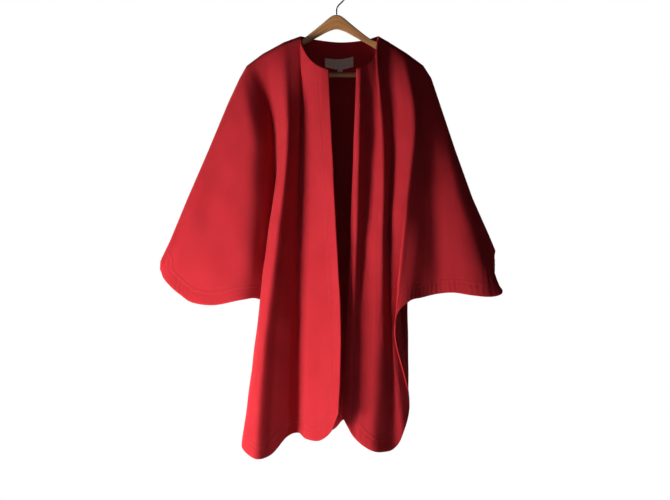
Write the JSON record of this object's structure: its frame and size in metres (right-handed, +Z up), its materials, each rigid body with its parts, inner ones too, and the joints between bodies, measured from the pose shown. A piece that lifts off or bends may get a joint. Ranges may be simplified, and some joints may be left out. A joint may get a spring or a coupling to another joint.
{
  "type": "wool cape on a wooden hanger",
  "caption": "Red unlined open-front wool cape with wide wing sleeves, hanging on a flat wooden hanger with a trouser bar and a metal hook.",
  "frame": {"origin": "where the hanger's hook hangs on its rail, the inside top of the hook's ring", "axes": "+Z up, the cape's front faces -Y, +X is the picture's right"},
  "size_m": [0.8541, 0.2041, 1.1784],
  "materials": {
    "wool_cloth": "matt, milled red wool coating",
    "hanger_wood": "clear varnished, honey coloured",
    "hook_metal": "bright plated steel wire",
    "label_cloth": "woven satin, bare"
  },
  "bodies": {
    "root": {"front_left": "wool_cloth", "front_right": "wool_cloth", "back_panel": "wool_cloth", "neck_label": "label_cloth", "size_tab": "label_cloth", "hanger_wood": "hanger_wood", "trouser_bar": "hanger_wood", "hanger_hook": "hook_metal"}
  },
  "joints": []
}
